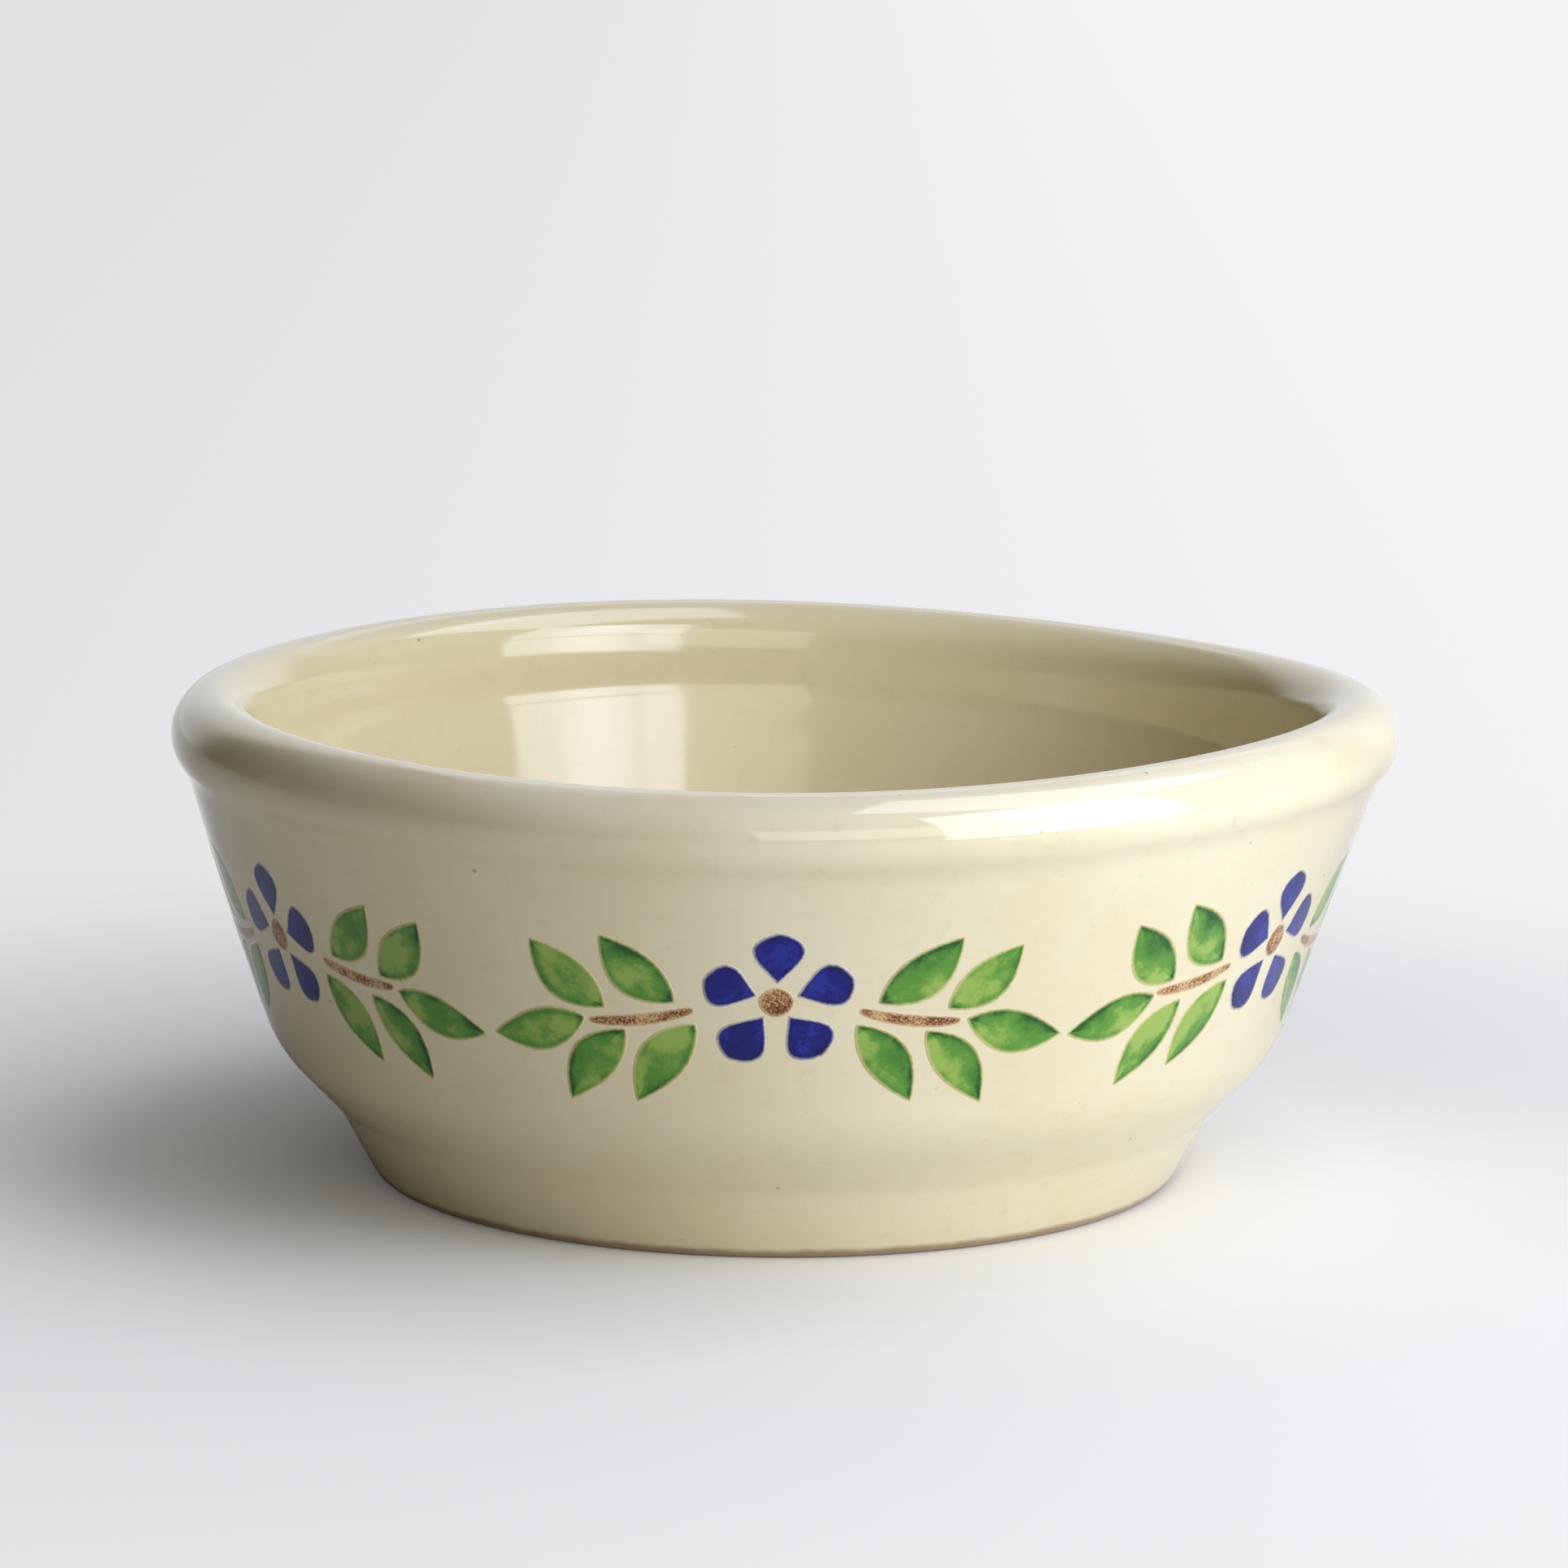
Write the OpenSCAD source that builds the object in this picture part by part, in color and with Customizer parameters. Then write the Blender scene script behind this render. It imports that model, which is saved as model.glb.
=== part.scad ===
// Hand-thrown stoneware ramekin with a rolled rim, a glaze coat and a painted garland of flower sprigs.
// Millimetres, +Z up, origin at the middle of the foot on the table. The front is at -Y.

/* [Overall] */
// Diameter over the glazed rim
rim_d = 114; // [108:1:130]
// Height over the glazed rim
height = 45; // [40:1:60]

/* [Wall and rim] */
// Thickness of the clay wall
wall_t = 4.9; // [3.5:0.1:5.5]
// Radius of the rolled rim, outside
rim_round = 3.5; // [3.1:0.1:4.2]
// How far the rolled rim stands out from the wall, outside
rim_out = 0.6; // [0.4:0.1:1.2]
// Radius of the crease under the rim, outside
crease_out = 7; // [2:0.5:10]
// Radius of the rim's top, towards the inside
lip_round = 3.2; // [2.6:0.1:3.6]
// Radius of the rim's inner face
lip_face = 22; // [18:0.5:28]
// Radius of the crease under the rim, inside
crease_in = 8.4; // [5:0.1:12]

/* [Belly and foot] */
// Diameter of the clay where the wall turns into the belly
belly_d = 93; // [90:0.5:98]
// Height where the wall turns into the belly
belly_h = 12.8; // [11:0.1:15]
// Radius of the belly
belly_round = 11.5; // [6:0.5:14]
// Diameter of the clay at the waist above the foot
waist_d = 81.6; // [78:0.2:84]
// Height of the waist
waist_h = 6.9; // [5:0.1:8.5]
// Radius of the hollow at the waist
waist_round = 6.4; // [3:0.1:9]
// Diameter of the foot at the table
foot_d = 74; // [70:0.5:76]
// Rounding of the foot's edges
foot_round = 1; // [0.5:0.1:1.4]

/* [Floor] */
// Thickness of the clay floor
floor_t = 4.2; // [3.5:0.1:6]
// Radius where the wall runs into the floor, inside
floor_round = 14; // [10:0.5:18]
// Width of the foot ring that the bowl stands on
foot_ring = 5.5; // [4:0.5:9]
// Depth of the recess under the floor
recess_depth = 2.4; // [1.6:0.1:4]
// Rounding inside the recess
recess_round = 1.2; // [0.4:0.1:2]

/* [Glaze] */
// Thickness of the glaze
glaze_t = 0.45; // [0.3:0.05:0.7]

/* [Painted sprigs] */
// Thickness of the fired colours
paint_t = 0.15; // [0.1:0.05:0.3]
// Bare glaze between two brush strokes
stroke_gap = 0.4; // [0.3:0.1:1]
// Height of the flowers' middle above the belly, up the wall
flower_rise = 14.5; // [12:0.5:16]
// Number of petals of a flower
petal_count = 5; // [4:1:6]
// Length of a petal
petal_l = 5; // [3.5:0.1:6]
// Width of a petal
petal_w = 4.6; // [3:0.1:5.4]
// Diameter of a flower's middle
centre_d = 3; // [2:0.1:4]
// Width of a stem
stem_w = 1.1; // [0.6:0.1:2]
// Angle that a stem droops by
stem_droop = 8; // [0:1:15]
// Sag in the middle of a stem
stem_sag = 0.5; // [0:0.1:1]
// Length of a leaf
leaf_l = 9.2; // [6:0.1:11]
// Width of a leaf
leaf_w = 4.4; // [3:0.1:5.4]
// Number of leaves along each side of a stem
leaf_pairs = 2; // [1:1:2]
// Angle between a leaf and its stem
leaf_spread = 50; // [40:1:60]
// Bow of a leaf's midline
leaf_bow = 0.5; // [0:0.1:1]
// Angle that the leaf at a stem's end turns down by
leaf_drop = 8; // [0:1:15]

/* [Hidden] */
$fn = 180;

// Steps along each arc of the profile, and along each side of a brush stroke
arc_steps = 16;
stroke_steps = 10;
// Shape of a brush stroke: a lean above 1 moves its widest part to the tip, and a low fullness blunts its ends
petal_lean = 1.6;
petal_fullness = 0.65;
leaf_lean = 0.9;
leaf_fullness = 0.9;
stem_lean = 1;
stem_fullness = 0.25;
// Turn from +X to where the rim's top runs into its inner face
lip_turn = 169;
// How far a stroke's outline reaches through the wall, each way
stroke_reach = 4;
// Least bare glaze between two sprigs
sprig_gap = 1;
// Turn from +X to the front
front_angle = -90;

// Plane vectors, as [radius, height] in the profile or [across, up] on the wall

function polar(radius, angle) = radius * [cos(angle), sin(angle)];
function unit(v) = v / norm(v);
function right_of(v) = [v[1], -v[0]];
function angle_of(v) = atan2(v[1], v[0]);
function reversed(list) = [for (i = [len(list) - 1 : -1 : 0]) list[i]];

// Profile of the clay: each step is [point, outward normal], and the clay lies to the left

// Arc of the profile; side is 1 on a round edge and -1 in a hollow
function arc(centre, radius, from, to, side) = [
    for (i = [0 : arc_steps])
        let (a = from + (to - from) * i / arc_steps)
        [centre + polar(radius, a), side * polar(1, a)]
];

// Arc that rounds the corner b of the line a, b, c
function corner(a, b, c, radius) =
    let (
        along = unit(b - a),
        next = unit(c - b),
        turn = atan2(cross(along, next), along * next),
        side = sign(turn),
        start = b - radius * tan(abs(turn) / 2) * along,
        from = angle_of(side * right_of(along))
    )
    arc(start - side * radius * right_of(along), radius, from, from + turn, side);

// Point of the line through p along v at the given height
function at_height(p, v, z) = p + v * (z - p[1]) / v[1];

// Points of a profile, moved out along its normals
function lifted(profile, distance) = [for (step = profile) step[0] + distance * step[1]];

foot_r = foot_d / 2;
foot_point = [foot_r, 0];
waist_point = [waist_d / 2, waist_h];
belly_point = [belly_d / 2, belly_h];

// The wall runs up into a rolled rim: a round outside, a tighter top, and an inner face that is nearly flat
rim_centre = [rim_d / 2 - glaze_t - rim_round, height - glaze_t - rim_round];
lip_centre = rim_centre + [0, rim_round - lip_round];
face_centre = lip_centre + polar(lip_round - lip_face, lip_turn);

// The wall's outer face is a straight line from the belly that passes the rim's middle on the outside
belly_to_rim = rim_centre - belly_point;
wall_angle = angle_of(belly_to_rim) - asin((rim_round - rim_out) / norm(belly_to_rim));
wall_up = polar(1, wall_angle);
wall_out = right_of(wall_up);
wall_lean = 90 - wall_angle;

// How far the wall's inner face passes the middle of the rim's inner face, and the turns through the two creases
face_to_wall = (face_centre - belly_point) * wall_out + wall_t;
crease_out_turn = acos((crease_out + rim_round - rim_out) / (crease_out + rim_round));
crease_in_turn = acos((crease_in + face_to_wall) / (crease_in + lip_face));
rim_from = wall_angle - 90 - crease_out_turn;
face_to = wall_angle + 90 + crease_in_turn;

floor_z = recess_depth + floor_t;
floor_point = at_height(belly_point - wall_t * wall_out, wall_up, floor_z);

foot_arc = corner([0, 0], foot_point, waist_point, foot_round);
waist_arc = corner(foot_point, waist_point, belly_point, waist_round);
belly_arc = corner(waist_point, belly_point, belly_point + wall_up, belly_round);
crease_out_arc = arc(rim_centre + polar(rim_round + crease_out, rim_from), crease_out,
    wall_angle + 90, rim_from + 180, -1);
rim_arc = arc(rim_centre, rim_round, rim_from, 90, 1);
lip_arc = arc(lip_centre, lip_round, 90, lip_turn, 1);
face_arc = arc(face_centre, lip_face, lip_turn, face_to, 1);
crease_in_arc = arc(face_centre + polar(lip_face + crease_in, face_to), crease_in,
    face_to - 180, wall_angle - 90, -1);
floor_arc = corner(floor_point + wall_up, floor_point, [0, floor_z], floor_round);
floor_middle = [[[0, floor_z], [0, 1]]];

clay_skin = concat(foot_arc, waist_arc, belly_arc, crease_out_arc, rim_arc, lip_arc, face_arc, crease_in_arc,
    floor_arc, floor_middle);

// The glaze ends where the foot's edge starts to round under
glazed_skin = [for (i = [arc_steps : len(clay_skin) - 1]) clay_skin[i]];

// Trimmed underside, from the middle out to the foot ring
recess_r = foot_r - foot_ring;
recess_fillet = min(recess_round, recess_depth - foot_round);
recess_corner = [recess_r, recess_depth];
underside = concat([[[0, recess_depth], [0, -1]]],
    corner([0, recess_depth], recess_corner, [recess_r, 0], recess_fillet),
    corner(recess_corner, [recess_r, 0], foot_point, foot_round));

// Straight stretch of the wall that carries the painting
painted_wall = [belly_arc[arc_steps], crease_out_arc[0]];

// Layer of material over a stretch of the profile, between two depths
module layer(profile, inner, outer) {
    rotate_extrude() polygon(concat(lifted(profile, outer), reversed(lifted(profile, inner))));
}

module stoneware_body() {
    color("rosybrown") rotate_extrude() polygon(lifted(concat(clay_skin, underside), 0));
}

module glaze_coat() {
    color("cornsilk") layer(glazed_skin, 0, glaze_t);
}

// Painting: places on the wall are [across, up] from a flower's middle

// Outline of a brush stroke along +X, whose midline is bowed to the left
function brush_stroke(length, width, bow, lean, fullness) =
    let (
        steps = [for (i = [0 : stroke_steps]) (1 - cos(180 * i / stroke_steps)) / 2],
        half = [for (t = steps) width / 2 * pow(sin(180 * pow(t, lean)), fullness)],
        middle = [for (t = steps) [length * t, 4 * bow * t * (1 - t)]]
    )
    concat([for (i = [0 : stroke_steps]) middle[i] - [0, half[i]]],
        [for (i = [stroke_steps - 1 : -1 : 1]) middle[i] + [0, half[i]]]);

flower_r = centre_d / 2 + stroke_gap + petal_l;
leaf_step = (leaf_w + stroke_gap) / sin(leaf_spread);
leaf_root = stem_w / 2 + stroke_gap;
// The lower leaves begin at the stem's start, the upper ones a quarter step on, and the stem ends half a step on
leaf_lag = leaf_step / 4;
stem_start = flower_r + stroke_gap;
stem_l = (leaf_pairs - 0.5) * leaf_step;
sprig_l = 2 * (stem_start + stem_l + stroke_gap + leaf_l);

// Point of the glazed wall, at a distance up the wall from the belly
function wall_point(up) = belly_point + up * wall_up + glaze_t * wall_out;

// As many sprigs as there is room for
sprig_count = floor(2 * PI * wall_point(flower_rise)[0] / (sprig_l + sprig_gap));

// Stands a flat outline on the wall at a place, turned by an angle, as a prism through the wall
module on_wall(place, angle) {
    spot = wall_point(flower_rise + place[1]);
    rotate([0, 0, place[0] / spot[0] * 180 / PI])
        translate([spot[0], 0, spot[1]])
        rotate([0, wall_lean, 0])
        rotate([90, 0, 90])
        rotate([0, 0, angle])
        linear_extrude(2 * stroke_reach, center = true)
        children();
}

// Repeats one sprig's strokes round the bowl, with one sprig at the front, as films of colour on the glaze
module round_the_bowl() {
    intersection() {
        layer(painted_wall, glaze_t, glaze_t + paint_t);
        for (i = [0 : sprig_count - 1]) rotate([0, 0, front_angle + 360 * i / sprig_count]) children();
    }
}

// Puts a stroke on the right stem, and its mirror image on the left one.
// The stroke starts at a distance along the stem and beside it, turned from the stem by an angle.
module on_stems(along, beside, angle, outline) {
    place = polar(stem_start + along, -stem_droop) + polar(beside, 90 - stem_droop);
    on_wall(place, angle - stem_droop) polygon(outline);
    on_wall([-place[0], place[1]], stem_droop - angle) mirror([1, 0]) polygon(outline);
}

module painted_petals() {
    petal = brush_stroke(petal_l, petal_w, 0, petal_lean, petal_fullness);
    petal_start = centre_d / 2 + stroke_gap;
    color("royalblue") round_the_bowl()
        for (i = [0 : petal_count - 1])
            on_wall([0, 0], 90 + 360 * i / petal_count) translate([petal_start, 0]) polygon(petal);
}

module painted_centres() {
    color("saddlebrown") round_the_bowl() on_wall([0, 0], 0) circle(d = centre_d);
}

module painted_stems() {
    stem = brush_stroke(stem_l, stem_w, -stem_sag, stem_lean, stem_fullness);
    color("sienna") round_the_bowl() on_stems(0, 0, 0, stem);
}

module painted_leaves() {
    upper_leaf = brush_stroke(leaf_l, leaf_w, -leaf_bow, leaf_lean, leaf_fullness);
    lower_leaf = brush_stroke(leaf_l, leaf_w, leaf_bow, leaf_lean, leaf_fullness);
    color("forestgreen") round_the_bowl() {
        for (i = [0 : leaf_pairs - 1]) {
            on_stems(leaf_step * i + leaf_lag, leaf_root, leaf_spread, upper_leaf);
            on_stems(leaf_step * i, -leaf_root - stem_sag, -leaf_spread, lower_leaf);
        }
        on_stems(stem_l + stroke_gap, 0, -leaf_drop, upper_leaf);
    }
}

stoneware_body();
glaze_coat();
painted_leaves();
painted_petals();
painted_centres();
painted_stems();
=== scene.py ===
# Hand-thrown stoneware ramekin with a rolled rim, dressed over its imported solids.
# The profile and the painting are in millimetres, from the sizes of the solids. The front is at -Y.

import cmath
import itertools
import math
import random
from collections import namedtuple

import bpy
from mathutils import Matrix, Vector


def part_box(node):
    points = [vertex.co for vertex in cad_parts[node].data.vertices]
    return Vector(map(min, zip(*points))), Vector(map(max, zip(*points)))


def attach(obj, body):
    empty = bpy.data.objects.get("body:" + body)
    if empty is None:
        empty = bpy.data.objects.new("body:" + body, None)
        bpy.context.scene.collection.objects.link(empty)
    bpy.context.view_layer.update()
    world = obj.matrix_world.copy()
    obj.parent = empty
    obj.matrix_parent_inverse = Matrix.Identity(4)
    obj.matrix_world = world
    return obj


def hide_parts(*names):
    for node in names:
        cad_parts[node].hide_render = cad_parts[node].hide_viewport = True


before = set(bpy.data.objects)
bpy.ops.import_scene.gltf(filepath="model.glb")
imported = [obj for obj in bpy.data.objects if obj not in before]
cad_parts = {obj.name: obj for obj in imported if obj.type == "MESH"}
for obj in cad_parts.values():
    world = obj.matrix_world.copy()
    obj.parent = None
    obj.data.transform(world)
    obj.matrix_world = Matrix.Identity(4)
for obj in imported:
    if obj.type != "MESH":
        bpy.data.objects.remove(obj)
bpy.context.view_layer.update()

MM = 0.001
DEG = math.pi / 180

# Sizes of the solids, in millimetres; the rim comes from the frame

glaze_low, glaze_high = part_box("glaze_coat")
rim_d = (glaze_high.x - glaze_low.x) / MM
height = glaze_high.z / MM

WALL_T = 4.9
RIM_ROUND = 3.5
RIM_OUT = 0.6
CREASE_OUT = 7
LIP_ROUND = 3.2
LIP_FACE = 22
LIP_TURN = 169 * DEG
CREASE_IN = 8.4
BELLY_D = 93
BELLY_H = 12.8
BELLY_ROUND = 11.5
WAIST_D = 81.6
WAIST_H = 6.9
WAIST_ROUND = 6.4
FOOT_D = 74
FOOT_ROUND = 1
FLOOR_T = 4.2
FLOOR_ROUND = 14
FOOT_RING = 5.5
RECESS_DEPTH = 2.4
RECESS_ROUND = 1.2
GLAZE_T = 0.45

# Sizes of the painting, in millimetres and radians; a lift is a film's height over the glaze

STROKE_GAP = 0.4
FLOWER_RISE = 14.5
PETAL_COUNT = 5
PETAL_W = 4.6
PETAL_L = 5
PETAL_LIFT = 0.02
CENTRE_D = 3
CENTRE_LIFT = 0.024
STEM_W = 1.1
STEM_DROOP = 8 * DEG
STEM_SAG = 0.5
STEM_LIFT = 0.012
LEAF_W = 4.4
LEAF_L = 9.2
LEAF_BOW = 0.5
LEAF_PAIRS = 2
LEAF_SPREAD = 50 * DEG
LEAF_DROP = 8 * DEG
LEAF_LIFT = 0.016
SPRIG_COUNT = 6
FRONT = -90 * DEG

# Fineness of the meshes: pitches in millimetres, counts of steps, and rings as shares of a stroke's width

ARC_PITCH = 0.3
STRAIGHT_PITCH = 0.7
INNER_PITCH = 2.5
TURN_STEPS = 256
STROKE_STEPS = 20
STROKE_RINGS = [1, 0.86, 0.66, 0.4, 0.15]

# What the hand left, in millimetres: a rim that isn't quite level or round, and faint throwing rings

RIM_TILT = 0.26
TILT_AZIMUTH = -99 * DEG
RIM_SADDLE = 0.5
SADDLE_AZIMUTH = -32 * DEG
RIM_WAVE = 0.35
WAVE_AZIMUTH = -23 * DEG
RIM_SHIFT = 0.75
RIM_RISE = 0.15
RING_DEPTH = 0.006
RING_PITCH = 3.4
RING_FROM = 2
RING_FULL = 9

# Small changes from stroke to stroke

TURN_PLAY = 2 * DEG
SIZE_PLAY = 0.04
BOW_PLAY = 0.12

# Places of the view and the window, in metres; azimuths go from the front to the right

CAMERA_TARGET = Vector((0, 0, 20)) * MM
CAMERA_AIM = Vector((0.61, 3.2, 35.4)) * MM
CAMERA_DISTANCE = 648 * MM
CAMERA_ELEVATION = 11.75 * DEG
CAMERA_LENS = 158.8
CAMERA_ROLL = 0.5 * DEG
CAMERA_CLIP = 10 * MM

WINDOW_AZIMUTH = 48 * DEG
WINDOW_DISTANCE = 282 * MM
WINDOW_BESIDE = 4 * MM
WINDOW_WIDTH = 235 * MM
WINDOW_SILL = 13 * MM
WINDOW_BAR_LOW = 131 * MM
WINDOW_BAR_HIGH = 138 * MM
WINDOW_TOP = 345 * MM
WINDOW_LIGHT = 2.7
WINDOW_HOT = 1.6
HOT_FULL = 0.06
HOT_END = 0.32

# The room: its dim fill, the backdrop's strength on both sides, and where the floor fades into it

FILL = 0.02
BACKDROP_LEFT = 0.775
BACKDROP_RIGHT = 0.93
BACKDROP_SPAN = 0.17
BACKDROP_FROM = 0.6
BACKDROP_FULL = 0.92
FLOOR_HALF = 6
FLOOR_DROP = 0.02 * MM
FADE_LEAST = 0.04
FADE_FROM = 0.02
FADE_TO = 0.17
FADE_BACK_FROM = 0.03
FADE_BACK_TO = 0.15


# Plane vectors are complex numbers: radius + height in the profile, across + up on the wall


def unit(v):
    return v / abs(v)


def right_of(v):
    return v * -1j


def ease(x):
    """Smooth step from 0 at 0 to 1 at 1."""
    x = min(max(x, 0), 1)
    return x * x * (3 - 2 * x)


# Profile of the clay: each step is a point and its outward normal, and the clay lies to the left


def arc(centre, radius, start, end, side):
    """Steps along an arc; side is 1 on a round edge and -1 in a hollow."""
    count = math.ceil(radius * abs(end - start) / ARC_PITCH) + 2
    angles = [start + (end - start) * i / count for i in range(count + 1)]
    return [(centre + cmath.rect(radius, a), side * cmath.rect(1, a)) for a in angles]


def corner(a, b, c, radius):
    """Arc that rounds the corner b of the line a, b, c."""
    along = unit(b - a)
    turn = cmath.phase(unit(c - b) / along)
    side = math.copysign(1, turn)
    start = b - radius * math.tan(abs(turn) / 2) * along
    first = cmath.phase(side * right_of(along))
    return arc(start - side * radius * right_of(along), radius, first, first + turn, side)


def spread(profile, pitch):
    """The same profile with more steps on its straight stretches."""
    steps = profile[:1]
    for (p, n), (q, m) in zip(profile, profile[1:]):
        count = max(1, math.ceil(abs(q - p) / pitch))
        steps += [(p + (q - p) * i / count, n + (m - n) * i / count) for i in range(1, count + 1)]
    return steps


def thinned(points, pitch):
    """The ends of a line and those of its points that lie a pitch or more apart."""
    kept = points[:1]
    for point in points[1:-1]:
        if abs(point - kept[-1]) >= pitch:
            kept.append(point)
    return kept + points[-1:]


foot_point = complex(FOOT_D / 2, 0)
waist_point = complex(WAIST_D / 2, WAIST_H)
belly_point = complex(BELLY_D / 2, BELLY_H)

rim_centre = complex(rim_d / 2 - GLAZE_T - RIM_ROUND, height - GLAZE_T - RIM_ROUND)
lip_centre = rim_centre + complex(0, RIM_ROUND - LIP_ROUND)
face_centre = lip_centre + cmath.rect(LIP_ROUND - LIP_FACE, LIP_TURN)
belly_to_rim = rim_centre - belly_point
wall_angle = cmath.phase(belly_to_rim) - math.asin((RIM_ROUND - RIM_OUT) / abs(belly_to_rim))
wall_up = cmath.rect(1, wall_angle)
wall_out = right_of(wall_up)

face_to_wall = ((face_centre - belly_point) / wall_out).real + WALL_T
crease_out_turn = math.acos((CREASE_OUT + RIM_ROUND - RIM_OUT) / (CREASE_OUT + RIM_ROUND))
crease_in_turn = math.acos((CREASE_IN + face_to_wall) / (CREASE_IN + LIP_FACE))
rim_from = wall_angle - math.pi / 2 - crease_out_turn
face_to = wall_angle + math.pi / 2 + crease_in_turn

floor_z = RECESS_DEPTH + FLOOR_T
wall_inside = belly_point - WALL_T * wall_out
floor_point = wall_inside + wall_up * (floor_z - wall_inside.imag) / wall_up.imag
floor_middle = complex(0, floor_z)
recess_r = FOOT_D / 2 - FOOT_RING
recess_middle = complex(0, RECESS_DEPTH)
recess_corner = complex(recess_r, RECESS_DEPTH)


def outer_skin():
    """Steps of the clay's skin from above the foot's edge, over the rim, to the middle of the floor."""
    steps = corner(foot_point, waist_point, belly_point, WAIST_ROUND)
    steps += corner(waist_point, belly_point, belly_point + wall_up, BELLY_ROUND)
    steps += arc(rim_centre + cmath.rect(RIM_ROUND + CREASE_OUT, rim_from), CREASE_OUT,
                 wall_angle + math.pi / 2, rim_from + math.pi, -1)
    steps += arc(rim_centre, RIM_ROUND, rim_from, math.pi / 2, 1)[1:]
    steps += arc(lip_centre, LIP_ROUND, math.pi / 2, LIP_TURN, 1)[1:]
    steps += arc(face_centre, LIP_FACE, LIP_TURN, face_to, 1)[1:]
    steps += arc(face_centre + cmath.rect(LIP_FACE + CREASE_IN, face_to), CREASE_IN,
                 face_to - math.pi, wall_angle - math.pi / 2, -1)[1:]
    steps += corner(floor_point + wall_up, floor_point, floor_middle, FLOOR_ROUND)
    return steps + [(floor_middle, 1j)]


def foot_edge():
    """Steps round the foot's outer edge, from the table up."""
    return corner(0, foot_point, waist_point, FOOT_ROUND)


def underside():
    """Steps of the trimmed underside, from its middle out to the foot ring."""
    ring_corner = complex(recess_r, 0)
    steps = [(recess_middle, -1j)]
    steps += corner(recess_middle, recess_corner, ring_corner, RECESS_ROUND)
    return steps + corner(recess_corner, ring_corner, foot_point, FOOT_ROUND)


# Turning a profile


def thrown(point, azimuth):
    """Place in the frame of a profile's point, as the hand left it."""
    radius, level = point.real, point.imag
    rise = ease((level - BELLY_H) / (height - BELLY_H))
    lift = RIM_RISE + RIM_TILT * math.cos(azimuth - TILT_AZIMUTH)
    lift += RIM_SADDLE * math.cos(2 * (azimuth - SADDLE_AZIMUTH))
    lift += RIM_WAVE * math.cos(3 * (azimuth - WAVE_AZIMUTH))
    turn = 2 * math.pi * (level - radius) / RING_PITCH + azimuth
    ring = RING_DEPTH * math.sin(turn) * ease((level - RING_FROM) / RING_FULL) * ease(radius / RING_FULL)
    radius += ring
    level += ring + rise * lift
    across = radius * math.cos(azimuth) + rise ** 2 * RIM_SHIFT
    return Vector((across, radius * math.sin(azimuth), level)) * MM


def lathe(line):
    """Points and faces of a line turned round the axis; the line starts and ends on it."""
    turns = [2 * math.pi * j / TURN_STEPS for j in range(TURN_STEPS)]
    points = [thrown(line[0], 0)]
    points += [thrown(p, a) for p in line[1:-1] for a in turns]
    points.append(thrown(line[-1], 0))
    last = len(points) - 1
    top = last - TURN_STEPS
    faces = []
    for j in range(TURN_STEPS):
        k = (j + 1) % TURN_STEPS
        faces.append((0, 1 + k, 1 + j))
        faces.append((last, top + j, top + k))
        for row in range(1, top, TURN_STEPS):
            faces.append((row + j, row + k, row + TURN_STEPS + k, row + TURN_STEPS + j))
    return points, faces


def make_piece(name, node, material, points, faces, attributes):
    """A smooth mesh that rides on the bowl in place of a node."""
    mesh = bpy.data.meshes.new(name)
    mesh.from_pydata(points, [], faces)
    mesh.polygons.foreach_set("use_smooth", [True] * len(faces))
    for key, values in attributes.items():
        mesh.attributes.new(key, "FLOAT", "POINT").data.foreach_set("value", values)
    mesh.materials.append(material)
    piece = bpy.data.objects.new(name, mesh)
    bpy.context.collection.objects.link(piece)
    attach(piece, "root")
    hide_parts(node)


# Materials


def srgb(red, green, blue):
    """Shader colour of a screen colour from 0 to 255."""
    parts = [c / 255 for c in (red, green, blue)]
    return (*(c / 12.92 if c <= 0.04045 else ((c + 0.055) / 1.055) ** 2.4 for c in parts), 1)


# Scattered specks: their spacing, radius and core as shares of it, share that shows, and strength

Specks = namedtuple("Specks", "spacing radius core share strength")


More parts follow.
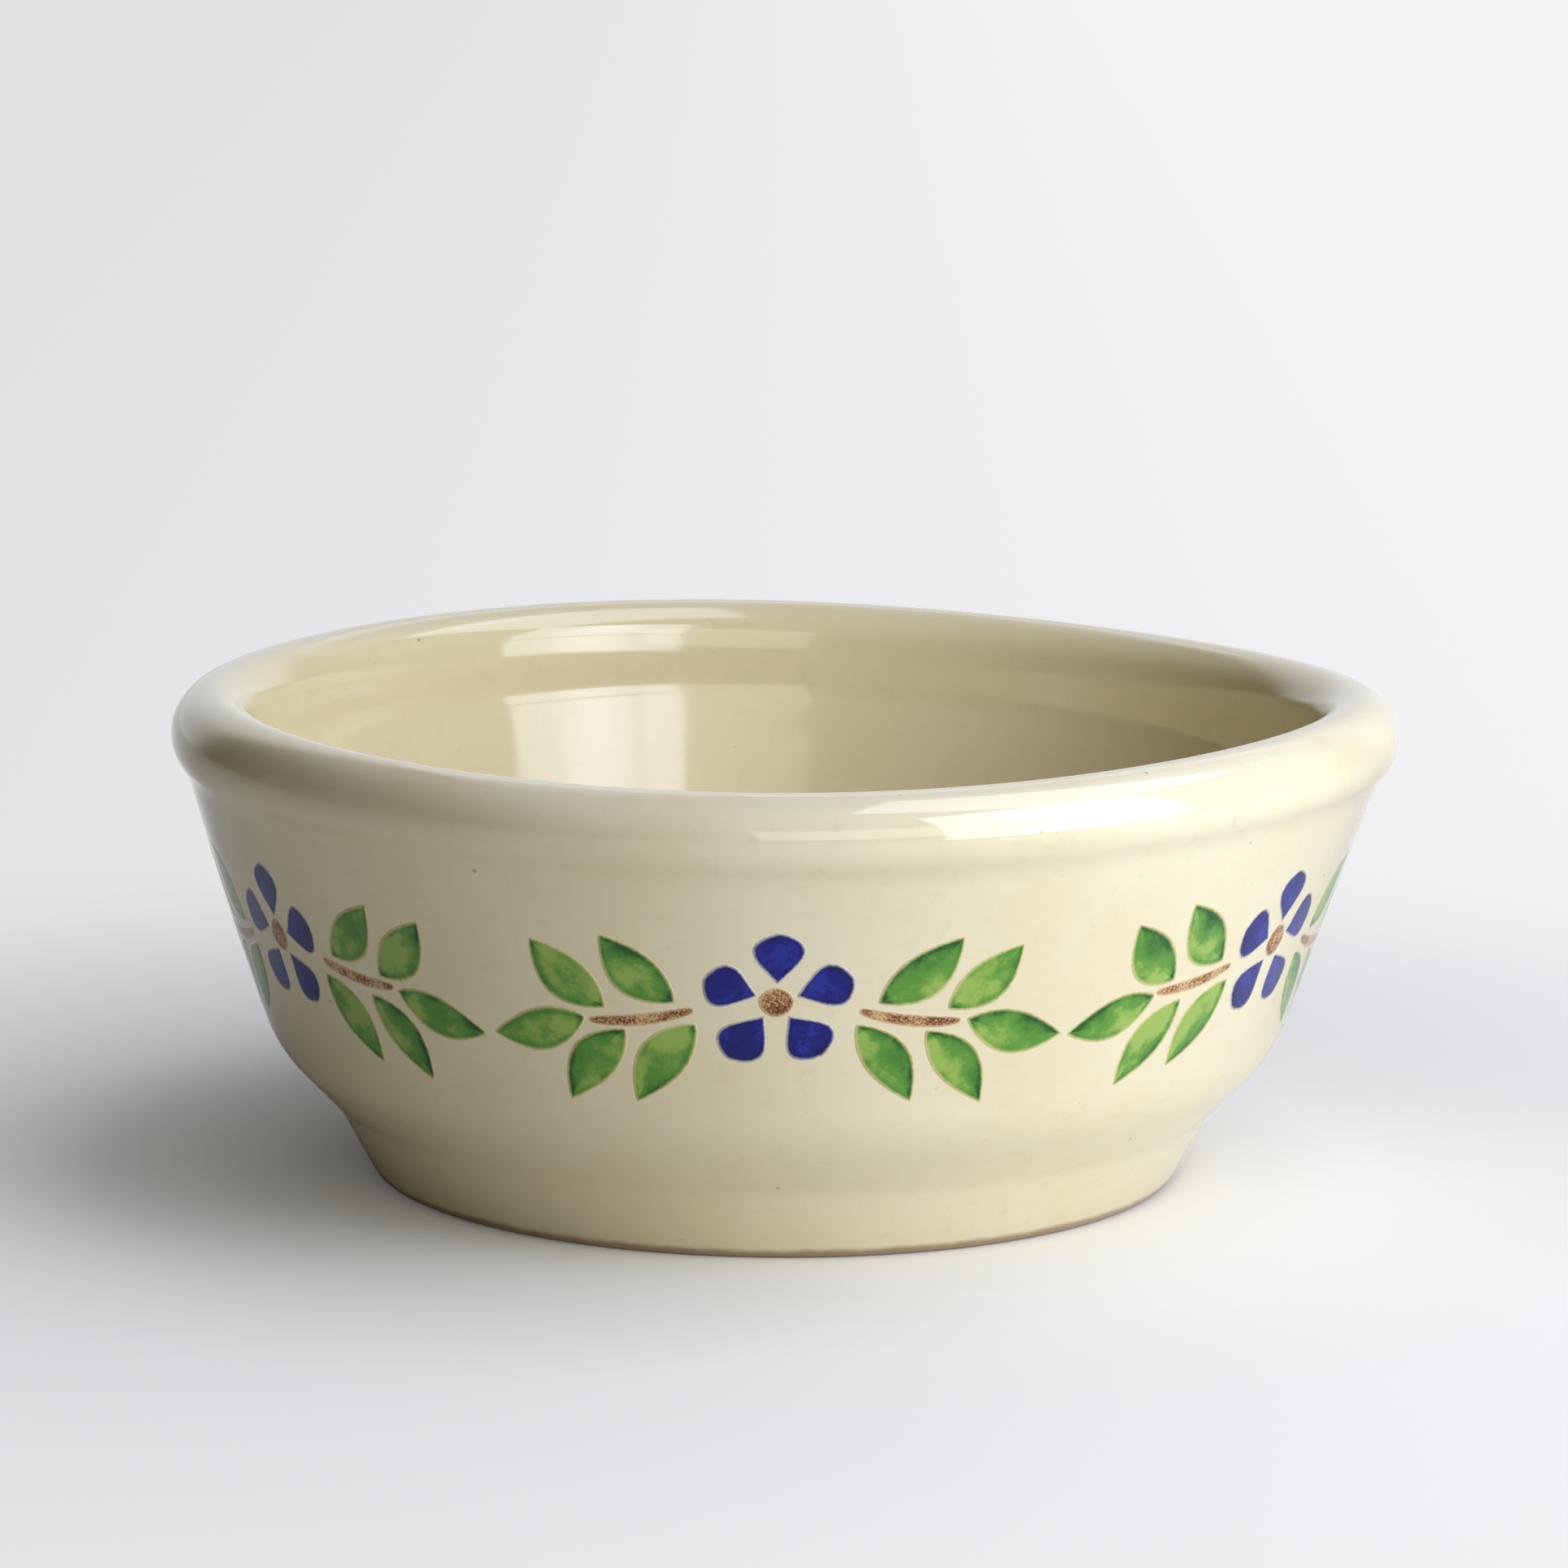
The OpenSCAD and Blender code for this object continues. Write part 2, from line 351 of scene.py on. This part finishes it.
class Shader:
    """The nodes of a material, lamp or world, with one short call for each kind that is used here."""

    def __init__(self, owner):
        self.owner = owner
        self.owner.use_nodes = True
        self.tree = self.owner.node_tree
        self.tree.nodes.clear()
        self.coordinates = self.add("ShaderNodeTexCoord").outputs
        self.place = self.coordinates["Object"]

    def add(self, kind, inputs=None, **settings):
        """A node with its settings, and its inputs linked or set."""
        node = self.tree.nodes.new(kind)
        for key, value in settings.items():
            setattr(node, key, value)
        for key, value in (inputs or {}).items():
            if isinstance(value, bpy.types.NodeSocket):
                self.tree.links.new(value, node.inputs[key])
            else:
                node.inputs[key].default_value = value
        return node

    def math(self, operation, a, b=0.0):
        return self.add("ShaderNodeMath", {0: a, 1: b}, operation=operation).outputs[0]

    def total(self, value, *others):
        for other in others:
            value = self.math("ADD", value, other)
        return value

    def ease(self, value, start, end, low=0.0, high=1.0):
        """Smooth step of a value, from low at start to high at end."""
        inputs = {"Value": value, "From Min": start, "From Max": end, "To Min": low, "To Max": high}
        return self.add("ShaderNodeMapRange", inputs, interpolation_type="SMOOTHSTEP").outputs["Result"]

    def attribute(self, name):
        return self.add("ShaderNodeAttribute", attribute_name=name).outputs["Fac"]

    def split(self, vector):
        """A vector's parts, by the names X, Y and Z."""
        return self.add("ShaderNodeSeparateXYZ", {0: vector}).outputs

    def vector_math(self, operation, output, a, b=(0, 0, 0)):
        return self.add("ShaderNodeVectorMath", {0: a, 1: b}, operation=operation).outputs[output]

    def inside(self, most=1.0):
        """0 where the surface faces away from the axis, rising to most where it faces the axis."""
        level = self.vector_math("MULTIPLY", "Vector", self.place, (1, 1, 0))
        outwards = self.vector_math("DOT_PRODUCT", "Value", level, self.coordinates["Normal"])
        return self.ease(outwards, 0.0, -INSIDE_FULL, high=most)

    def noise(self, size, detail=2.0, roughness=0.5):
        inputs = {"Vector": self.place, "Scale": 1 / size, "Detail": detail, "Roughness": roughness}
        return self.add("ShaderNodeTexNoise", inputs).outputs["Fac"]

    def specks(self, kind):
        """Strength of scattered specks."""
        cells = self.add("ShaderNodeTexVoronoi", {"Vector": self.place, "Scale": 1 / kind.spacing}).outputs
        chance = self.add("ShaderNodeSeparateColor", {0: cells["Color"]}).outputs["Red"]
        spot = self.math("MULTIPLY", self.ease(cells["Distance"], kind.radius, kind.core), kind.strength)
        return self.math("MULTIPLY", spot, self.math("LESS_THAN", chance, kind.share))

    def mix(self, factor, a, b):
        node = self.add("ShaderNodeMix", {0: factor, 6: a, 7: b}, data_type="RGBA")
        return node.outputs[2]

    def ramp(self, value, *stops):
        """Colour that goes smoothly through stops of position and colour."""
        node = self.add("ShaderNodeValToRGB", {0: value})
        node.color_ramp.interpolation = "EASE"
        elements = node.color_ramp.elements
        for i, (position, colour) in enumerate(stops):
            stop = elements[i] if i < len(elements) else elements.new(position)
            stop.position = position
            stop.color = colour
        return node.outputs["Color"]

    def bump(self, value, depth):
        return self.add("ShaderNodeBump", {"Height": value, "Distance": depth}).outputs["Normal"]

    def finish(self, colour, roughness, normal, ior):
        inputs = {"Base Color": colour, "Roughness": roughness, "Normal": normal, "IOR": ior}
        surface = self.add("ShaderNodeBsdfPrincipled", inputs)
        self.add("ShaderNodeOutputMaterial", {"Surface": surface.outputs[0]})
        return self.owner


# Colours

CREAM_WARM = srgb(232, 222, 188)
CREAM_PALE = srgb(235, 227, 198)
CREAM_DEEP = srgb(216, 202, 163)
# Painted shade: a deeper, warmer cream for the faces inside the bowl
CREAM_SHADED_INSIDE = srgb(231, 219, 179)
SPECK = srgb(140, 112, 76)
FOOT_STAIN = srgb(150, 116, 78)
CLAY_WARM = srgb(150, 112, 80)
CLAY_DARK = srgb(112, 80, 56)
CLAY_GRIT = srgb(196, 168, 132)
LEAF_PALE = srgb(152, 184, 88)
LEAF_MID = srgb(88, 148, 54)
LEAF_DARK = srgb(16, 88, 30)
LEAF_HALO = srgb(206, 190, 100)
BLUE_DEEP = srgb(2, 3, 74)
BLUE_MID = srgb(6, 10, 122)
BLUE_THIN = srgb(24, 40, 150)
BLUE_HALO = srgb(176, 180, 200)
CRAYON_DARK = srgb(92, 50, 36)
CRAYON_MID = srgb(158, 104, 62)
CRAYON_STAIN = srgb(214, 180, 132)
PAPER_DULL = srgb(246, 245, 241)
PAPER_BRIGHT = srgb(250, 249, 246)
PAPER_WHITE = (0.97, 0.98, 1, 1)
FLOOR_BOUNCE = srgb(226, 221, 206)
FILL_WARM = (1, 0.93, 0.75, 1)
KEY_COOL = (0.85, 0.89, 1)
SIDE_WARM = (1, 0.95, 0.8)

# Finish of the glaze and the clay; what faces the axis from INSIDE_FULL or further away is wholly inside

GLASS_IOR = 1.7
PAINT_IOR = 1.4
CLAY_IOR = 1.4
INSIDE_FULL = 30 * MM
INSIDE_WEAR = 0.05
RIPPLE_DEPTH = 0.0025 * MM
GRIT_DEPTH = 0.03 * MM
STAIN_TOP = 0.9 * MM
STAIN_FULL = 0.2 * MM
STAIN_RAGGED = 0.5 * MM
BOLD_SPECKS = Specks(spacing=4.5 * MM, radius=0.06, core=0.024, share=0.35, strength=0.55)
FAINT_SPECKS = Specks(spacing=2.2 * MM, radius=0.055, core=0.022, share=0.25, strength=0.3)
CLAY_SPECKS = Specks(spacing=2.5 * MM, radius=0.1, core=0.05, share=0.4, strength=1)

# Edges of the brushed colours, in millimetres inside a stroke's outline, and how much crayon took

FRAY = 0.24
HALO_FROM = -0.22
HALO_TO = 0.06
HALO_MOST = 0.7
PAINT_FROM = -0.1
LEAF_FEATHER = 0.34
PETAL_FEATHER = 0.24
CRAYON_FEATHER = 0.24
STEM_COVER = 0
CENTRE_COVER = 0.06


def cream_colour(shader):
    """Colour of the bare glaze: clouded cream, deeper inside as painted shade, with fine grain, specks and a
    foot stain.
    """
    cloud = shader.noise(16 * MM, detail=3.0)
    colour = shader.mix(shader.ease(cloud, 0.35, 0.65), CREAM_WARM, CREAM_PALE)
    # Painted shade: the faces towards the axis take the deeper cream, standing in for the shade inside the
    # bowl
    colour = shader.mix(shader.inside(), colour, CREAM_SHADED_INSIDE)
    mottle = shader.noise(1.8 * MM, detail=4.0, roughness=0.6)
    colour = shader.mix(shader.ease(mottle, 0.5, 0.85, high=0.35), colour, CREAM_DEEP)
    for kind in (BOLD_SPECKS, FAINT_SPECKS):
        colour = shader.mix(shader.specks(kind), colour, SPECK)
    ragged = shader.math("MULTIPLY", shader.noise(3 * MM, detail=3.0), STAIN_RAGGED)
    level = shader.math("SUBTRACT", shader.split(shader.place)["Z"], ragged)
    stain = shader.ease(level, STAIN_TOP, STAIN_FULL, high=0.8)
    return shader.mix(stain, colour, FOOT_STAIN)


def glaze_finish(shader, colour, ior):
    """Glossy fired glass over a colour, with the faint ripple of a melted surface, and worn duller inside."""
    ripple = shader.noise(1.4 * MM, detail=2.0)
    roughness = shader.ease(shader.noise(5 * MM, detail=3.0), 0.3, 0.7, low=0.03, high=0.06)
    roughness = shader.math("ADD", roughness, shader.inside(INSIDE_WEAR))
    return shader.finish(colour, roughness, shader.bump(ripple, RIPPLE_DEPTH), ior)


def glaze_material():
    """The bare cream glaze."""
    shader = Shader(bpy.data.materials.new("cream_glaze"))
    return glaze_finish(shader, cream_colour(shader), GLASS_IOR)


def clay_material():
    """Matt fired clay, clouded and gritty."""
    shader = Shader(bpy.data.materials.new("bare_clay"))
    grain = shader.noise(0.5 * MM, detail=5.0, roughness=0.7)
    cloud = shader.noise(9 * MM, detail=3.0)
    colour = shader.mix(shader.ease(cloud, 0.3, 0.7), CLAY_DARK, CLAY_WARM)
    colour = shader.mix(shader.ease(grain, 0.52, 0.75, high=0.6), colour, CLAY_GRIT)
    colour = shader.mix(shader.specks(CLAY_SPECKS), colour, CLAY_DARK)
    roughness = shader.ease(grain, 0.3, 0.7, low=0.62, high=0.85)
    return shader.finish(colour, roughness, shader.bump(grain, GRIT_DEPTH), CLAY_IOR)


def painted(shader, edge, feather, halo, paint):
    """Glaze with a colour brushed on it, that fades over its edge through a stain."""
    fray = shader.math("MULTIPLY", shader.noise(0.4 * MM, detail=3.0), FRAY)
    frayed = shader.math("SUBTRACT", shader.math("ADD", edge, fray), FRAY / 2)
    stain = shader.ease(frayed, HALO_FROM, HALO_TO, high=HALO_MOST)
    stained = shader.mix(stain, cream_colour(shader), halo)
    colour = shader.mix(shader.ease(frayed, PAINT_FROM, feather), stained, paint)
    return glaze_finish(shader, colour, PAINT_IOR)


def leaf_material():
    """Watercolour green: thin at the root, wetter on one side, dark where the brush lifted off."""
    shader = Shader(bpy.data.materials.new("leaf_green"))
    along = shader.attribute("along")
    across = shader.attribute("across")
    edge = shader.attribute("edge")
    seed = shader.attribute("seed")
    load = shader.ease(along, 0.1, 1.0, low=0.05, high=0.4)
    pooled = shader.ease(edge, 1.0, 0.1, high=0.22)
    wet_side = shader.math("MULTIPLY", across, shader.ease(seed, 0.3, 0.7, low=-0.28, high=0.28))
    cloud = shader.ease(shader.noise(3 * MM, detail=2.0), 0.25, 0.75, low=-0.28, high=0.28)
    grain = shader.ease(shader.noise(0.35 * MM, detail=3.0), 0.25, 0.75, low=-0.06, high=0.06)
    own_tone = shader.ease(seed, 0.0, 1.0, low=-0.05, high=0.2)
    start = shader.ease(along, 0.14, 0.04, high=0.5)
    tone = shader.total(load, pooled, wet_side, cloud, grain, own_tone, start)
    paint = shader.ramp(tone, (0.0, LEAF_PALE), (0.42, LEAF_MID), (0.95, LEAF_DARK))
    return painted(shader, edge, LEAF_FEATHER, LEAF_HALO, paint)


def petal_material():
    """Cobalt blue: deep where it pooled, thinner and grainy between."""
    shader = Shader(bpy.data.materials.new("petal_blue"))
    edge = shader.attribute("edge")
    pooled = shader.ease(edge, 0.7, 0.1, high=0.25)
    load = shader.ease(shader.attribute("along"), 0.2, 1.0, low=0.1, high=0.3)
    grain = shader.ease(shader.noise(0.3 * MM, detail=4.0, roughness=0.65), 0.3, 0.7, low=-0.16, high=0.16)
    cloud = shader.ease(shader.noise(2.6 * MM, detail=2.0), 0.3, 0.7, low=-0.15, high=0.35)
    tone = shader.total(pooled, load, grain, cloud)
    paint = shader.ramp(tone, (0.0, BLUE_THIN), (0.35, BLUE_MID), (0.85, BLUE_DEEP))
    return painted(shader, edge, PETAL_FEATHER, BLUE_HALO, paint)


def crayon_material(name, cover):
    """Grainy brown crayon: dark grains over a tan stain, of which more took at a higher cover."""
    shader = Shader(bpy.data.materials.new(name))
    edge = shader.attribute("edge")
    grain = shader.noise(0.22 * MM, detail=3.0, roughness=0.7)
    heavy = shader.ease(shader.noise(2.5 * MM, detail=2.0), 0.3, 0.7, low=-0.08, high=0.08)
    tone = shader.math("ADD", grain, heavy)
    stops = ((0.42, CRAYON_STAIN), (0.53, CRAYON_MID), (0.66, CRAYON_DARK))
    paint = shader.ramp(tone, *((position - cover, colour) for position, colour in stops))
    return painted(shader, edge, CRAYON_FEATHER, CRAYON_STAIN, paint)


# Clay and glaze


def make_body():
    """Bare clay, seen at the foot and below it."""
    steps = spread(underside() + foot_edge() + outer_skin(), STRAIGHT_PITCH)
    line = [p for p, _ in steps]
    seen = len(spread(underside() + foot_edge(), STRAIGHT_PITCH))
    line = line[:seen] + thinned(line[seen:], INNER_PITCH / 2)
    points, faces = lathe(line)
    make_piece("thrown_body", "stoneware_body", clay_material(), points, faces, {})


def make_glaze():
    """Glaze coat, whose lower edge is drawn round by the melt."""
    edge = foot_edge()
    steps = spread(edge[len(edge) // 2:] + outer_skin(), STRAIGHT_PITCH)
    line = thinned([p for p, _ in steps], INNER_PITCH)[::-1]
    run = 0
    for (p, n), (q, _) in zip(steps[1:], steps):
        run += abs(p - q)
        share = min(run / GLAZE_T / 2, 1)
        swell = math.sqrt(1 - (1 - share) ** 2)
        line.append(p + n * GLAZE_T * swell)
    points, faces = lathe(line)
    make_piece("fired_glaze", "glaze_coat", glaze_material(), points, faces, {})


# Painting: a brush shapes a stroke, and a stroke puts it at a place and angle beside a flower

Brush = namedtuple("Brush", "length width bow lean fullness")
Stroke = namedtuple("Stroke", "place angle brush")

STROKE_MARGIN = 0.2
STROKE_SUNK = -0.02

petal_start = CENTRE_D / 2 + STROKE_GAP
leaf_step = (LEAF_W + STROKE_GAP) / math.sin(LEAF_SPREAD)
leaf_root = STEM_W / 2 + STROKE_GAP
leaf_lag = leaf_step / 4
stem_start = petal_start + PETAL_L + STROKE_GAP
stem_l = (LEAF_PAIRS - 0.5) * leaf_step

PETAL = Brush(length=PETAL_L, width=PETAL_W, bow=0, lean=1.6, fullness=0.65)
UPPER_LEAF = Brush(length=LEAF_L, width=LEAF_W, bow=-LEAF_BOW, lean=0.9, fullness=0.9)
LOWER_LEAF = UPPER_LEAF._replace(bow=LEAF_BOW)
DAB = Brush(length=CENTRE_D, width=CENTRE_D, bow=0, lean=1, fullness=0.5)
STEM = Brush(length=stem_l, width=STEM_W, bow=-STEM_SAG, lean=1, fullness=0.25)


def on_stem(along, beside, angle, brush):
    """Stroke of the right stem, that starts at a distance along it and beside it."""
    place = cmath.rect(stem_start + along, -STEM_DROOP) + cmath.rect(beside, math.pi / 2 - STEM_DROOP)
    return Stroke(place, angle - STEM_DROOP, brush)


def stem_strokes():
    return [on_stem(0, 0, 0, STEM)]


def leaf_strokes():
    strokes = []
    for i in range(LEAF_PAIRS):
        strokes.append(on_stem(leaf_step * i + leaf_lag, leaf_root, LEAF_SPREAD, UPPER_LEAF))
        strokes.append(on_stem(leaf_step * i, -leaf_root - STEM_SAG, -LEAF_SPREAD, LOWER_LEAF))
    strokes.append(on_stem(stem_l + STROKE_GAP, 0, -LEAF_DROP, UPPER_LEAF))
    return strokes


def petal_strokes():
    angles = [math.pi / 2 + 2 * math.pi * i / PETAL_COUNT for i in range(PETAL_COUNT)]
    return [Stroke(cmath.rect(petal_start, a), a, PETAL) for a in angles]


def centre_strokes():
    return [Stroke(-CENTRE_D / 2, 0, DAB)]


def hand_varied(stroke, chance):
    """A stroke with the small changes that each stroke of a brush has."""
    brush = stroke.brush
    brush = brush._replace(length=brush.length * chance.uniform(1 - SIZE_PLAY, 1 + SIZE_PLAY),
                           width=brush.width * chance.uniform(1 - 2 * SIZE_PLAY, 1),
                           bow=brush.bow + chance.uniform(-BOW_PLAY, BOW_PLAY))
    return stroke._replace(angle=stroke.angle + chance.uniform(-TURN_PLAY, TURN_PLAY), brush=brush)


def stroke_ring(brush, share):
    """Closed line of (along, across, point) inside a stroke, at a share of its width."""
    inset = (1 - share) * brush.width / 2 / brush.length
    ring = []
    for i in range(2 * STROKE_STEPS):
        t = (1 - math.cos(math.pi * i / STROKE_STEPS)) / 2
        side = -1 if i <= STROKE_STEPS else 1
        half = brush.width / 2 * max(math.sin(math.pi * t ** brush.lean), 0) ** brush.fullness
        along = inset + t * (1 - 2 * inset)
        bowed = 4 * brush.bow * along * (1 - along)
        ring.append((along, side * share, complex(brush.length * along, bowed + side * share * half)))
    return ring


def outset(ring, distance):
    """A stroke's ring moved outwards."""
    count = len(ring)
    moved = []
    for i, (along, across, point) in enumerate(ring):
        forward = unit(ring[(i + 1) % count][2] - ring[i - 1][2])
        moved.append((along, across, point + distance * right_of(forward)))
    return moved


def film_layers(brush, lift):
    """Rings of a stroke's film, from below to the top, with their depths inside its outline and lifts."""
    rings = [stroke_ring(brush, share) for share in STROKE_RINGS]
    depths = [(1 - share) * brush.width / 2 for share in STROKE_RINGS]
    below = [(ring, depth, STROKE_SUNK) for ring, depth in zip(rings, depths)]
    margin = (outset(rings[0], STROKE_MARGIN), -STROKE_MARGIN, STROKE_SUNK)
    above = [(ring, depth, lift) for ring, depth in zip(rings, depths)]
    return below[::-1] + [margin] + above


def cap(first, count):
    """Faces that close a stroke's ring from side to side."""
    half = count // 2
    last = first + count
    faces = [(first, first + 1, last - 1)]
    faces += [(first + i, first + i + 1, last - i - 1, last - i) for i in range(1, half - 1)]
    return faces + [(first + half - 1, first + half, first + half + 1)]


def film_faces(first, layers):
    """Faces of a closed film, from its first point and its count of layers."""
    count = 2 * STROKE_STEPS
    top = first + (layers - 1) * count
    faces = []
    for start in range(first, top, count):
        for i in range(count):
            k = (i + 1) % count
            faces.append((start + i, start + k, start + count + k, start + count + i))
    faces += [face[::-1] for face in cap(first, count)]
    return faces + cap(top, count)


def wall_place(spot, azimuth, lift):
    """Place in the frame of a spot on the wall, across and up from a flower at an azimuth."""
    wall = belly_point + (FLOWER_RISE + spot.imag) * wall_up
    turn = spot.real / (wall + GLAZE_T * wall_out).real
    return thrown(wall + (GLAZE_T + lift) * wall_out, azimuth + turn)


def make_painting(name, node, material, strokes, lift, mirrored, seed):
    """Films of colour round the bowl, one closed film for each stroke."""
    chance = random.Random(seed)
    points, faces = [], []
    attributes = {"along": [], "across": [], "edge": [], "seed": []}
    azimuths = [FRONT + 2 * math.pi * i / SPRIG_COUNT for i in range(SPRIG_COUNT)]
    mirrors = (False, True) if mirrored else (False,)
    for azimuth, stroke, mirror in itertools.product(azimuths, strokes, mirrors):
        one = hand_varied(stroke, chance)
        tint = chance.random()
        layers = film_layers(one.brush, lift)
        film = film_faces(len(points), len(layers))
        faces += [face[::-1] for face in film] if mirror else film
        for ring, depth, rise in layers:
            for along, across, point in ring:
                spot = one.place + point * cmath.rect(1, one.angle)
                spot = -spot.conjugate() if mirror else spot
                points.append(wall_place(spot, azimuth, rise))
                for key, value in zip(attributes, (along, across, depth, tint)):
                    attributes[key].append(value)
    make_piece(name, node, material, points, faces, attributes)


# Light, floor and view; a radiance of 1 looks white

Panel = namedtuple("Panel", "azimuth elevation distance width tall radiance colour")

PANELS = {
    "right_panel": Panel(azimuth=92 * DEG, elevation=65 * DEG, distance=1.2,
                         width=0.9, tall=0.8, radiance=2, colour=KEY_COOL),
    "front_panel": Panel(azimuth=14 * DEG, elevation=20 * DEG, distance=1.2,
                         width=0.8, tall=0.5, radiance=1.12, colour=SIDE_WARM),
    "back_panel": Panel(azimuth=160 * DEG, elevation=50 * DEG, distance=1.2,
                        width=1.2, tall=0.8, radiance=0.4, colour=KEY_COOL),
    "left_panel": Panel(azimuth=-85 * DEG, elevation=8 * DEG, distance=0.9,
                        width=0.8, tall=0.2, radiance=0.12, colour=SIDE_WARM),
}


def around(azimuth, elevation, distance):
    """Point at a distance from the object; azimuth goes from the front to the right."""
    level = distance * math.cos(elevation)
    rise = distance * math.sin(elevation)
    return Vector((level * math.sin(azimuth), -level * math.cos(azimuth), rise))


def aim(thing, place, target):
    thing.location = place
    thing.rotation_euler = (target - place).to_track_quat("-Z", "Y").to_euler()


def make_lamp(name, place, target, width, tall, radiance, colour):
    """Soft lamp that isn't seen by the camera."""
    light = bpy.data.lights.new(name, "AREA")
    light.shape = "RECTANGLE"
    light.size = width
    light.size_y = tall
    light.energy = 4 * width * tall * radiance
    light.color = colour
    lamp = bpy.data.objects.new(name, light)
    lamp.visible_camera = False
    aim(lamp, place, target)
    bpy.context.collection.objects.link(lamp)
    return light


def make_window(name, low, high):
    """Pane of a soft window on the right, with a hot band up its middle."""
    beside = around(WINDOW_AZIMUTH + math.pi / 2, 0, WINDOW_BESIDE) + Vector((0, 0, (low + high) / 2))
    middle = around(WINDOW_AZIMUTH, 0, WINDOW_DISTANCE) + beside
    shader = Shader(make_lamp(name, middle, beside, WINDOW_WIDTH, high - low, WINDOW_LIGHT, KEY_COOL))
    across = shader.split(shader.add("ShaderNodeNewGeometry").outputs["Parametric"])["X"]
    from_middle = shader.math("ABSOLUTE", shader.math("SUBTRACT", across, 0.5))
    strength = shader.ease(from_middle, HOT_FULL, HOT_END, low=WINDOW_HOT)
    surface = shader.add("ShaderNodeEmission", {"Strength": strength})
    shader.add("ShaderNodeOutputLight", {"Surface": surface.outputs[0]})


def make_panels():
    """Soft lamps round the object."""
    for name, panel in PANELS.items():
        place = around(panel.azimuth, panel.elevation, panel.distance)
        make_lamp(name, place, CAMERA_TARGET, panel.width, panel.tall, panel.radiance, panel.colour)


def backdrop_share(shader, toward_back):
    """1 for a ray from the camera, through glass or from a gloss to the back, and 0 for one that lights."""
    path = shader.add("ShaderNodeLightPath").outputs
    behind = shader.ease(toward_back, BACKDROP_FROM, BACKDROP_FULL)
    gloss = shader.math("MULTIPLY", path["Is Glossy Ray"], behind)
    straight = shader.math("MAXIMUM", path["Is Camera Ray"], path["Is Transmission Ray"])
    return shader.math("MAXIMUM", straight, gloss)


def make_world():
    """Dim room with the pale backdrop behind the object, as a gloss sees it."""
    bpy.context.scene.world = bpy.data.worlds.new("studio")
    shader = Shader(bpy.context.scene.world)
    share = backdrop_share(shader, shader.split(shader.coordinates["Generated"])["Y"])
    colour = shader.mix(share, FILL_WARM, PAPER_WHITE)
    strength = shader.ease(share, 0.0, 1.0, low=FILL, high=BACKDROP_RIGHT)
    background = shader.add("ShaderNodeBackground", {"Color": colour, "Strength": strength})
    shader.add("ShaderNodeOutputWorld", {"Surface": background.outputs[0]})


def floor_material():
    """Matt pale paper, that fades into the backdrop away from the object."""
    shader = Shader(bpy.data.materials.new("paper"))
    colour = shader.mix(shader.noise(40 * MM, detail=4.0), PAPER_DULL, PAPER_BRIGHT)
    bounced = shader.add("ShaderNodeLightPath").outputs["Is Diffuse Ray"]
    near = shader.add("ShaderNodeBsdfDiffuse", {"Color": shader.mix(bounced, colour, FLOOR_BOUNCE)})
    place = shader.split(shader.place)
    level = shader.ease(place["X"], -BACKDROP_SPAN, BACKDROP_SPAN, low=BACKDROP_LEFT, high=BACKDROP_RIGHT)
    far = shader.add("ShaderNodeEmission", {"Color": PAPER_WHITE, "Strength": level})
    distance = shader.vector_math("LENGTH", "Value", shader.place)
    away = shader.math("MAXIMUM", shader.ease(distance, FADE_FROM, FADE_TO, low=FADE_LEAST),
                       shader.ease(place["Y"], FADE_BACK_FROM, FADE_BACK_TO))
    share = backdrop_share(shader, shader.math("DIVIDE", place["Y"], distance))
    fade = shader.math("MULTIPLY", away, share)
    surface = shader.add("ShaderNodeMixShader", {0: fade, 1: near.outputs[0], 2: far.outputs[0]})
    shader.add("ShaderNodeOutputMaterial", {"Surface": surface.outputs[0]})
    return shader.owner


def make_floor():
    """Wide square sheet of paper, just under the foot."""
    signs = ((-1, -1), (1, -1), (1, 1), (-1, 1))
    corners = [(FLOOR_HALF * x, FLOOR_HALF * y, -FLOOR_DROP) for x, y in signs]
    mesh = bpy.data.meshes.new("floor")
    mesh.from_pydata(corners, [], [(0, 1, 2, 3)])
    mesh.materials.append(floor_material())
    floor = bpy.data.objects.new("floor", mesh)
    bpy.context.collection.objects.link(floor)


def make_camera():
    """Camera at the photograph's viewing angle."""
    data = bpy.data.cameras.new("camera")
    data.lens = CAMERA_LENS
    data.clip_start = CAMERA_CLIP
    camera = bpy.data.objects.new("camera", data)
    aim(camera, CAMERA_TARGET + around(0, CAMERA_ELEVATION, CAMERA_DISTANCE), CAMERA_AIM)
    camera.rotation_euler.rotate_axis("Z", CAMERA_ROLL)
    bpy.context.collection.objects.link(camera)
    bpy.context.scene.camera = camera


make_body()
make_glaze()
make_painting("stem_lines", "painted_stems", crayon_material("stem_brown", STEM_COVER),
              stem_strokes(), STEM_LIFT, mirrored=True, seed=1)
make_painting("leaf_strokes", "painted_leaves", leaf_material(),
              leaf_strokes(), LEAF_LIFT, mirrored=True, seed=2)
make_painting("petal_strokes", "painted_petals", petal_material(),
              petal_strokes(), PETAL_LIFT, mirrored=False, seed=3)
make_painting("centre_dabs", "painted_centres", crayon_material("centre_brown", CENTRE_COVER),
              centre_strokes(), CENTRE_LIFT, mirrored=False, seed=4)

make_window("low_pane", WINDOW_SILL, WINDOW_BAR_LOW)
make_window("high_pane", WINDOW_BAR_HIGH, WINDOW_TOP)
make_panels()
make_world()
make_floor()
make_camera()
bpy.context.scene.view_settings.view_transform = "Standard"
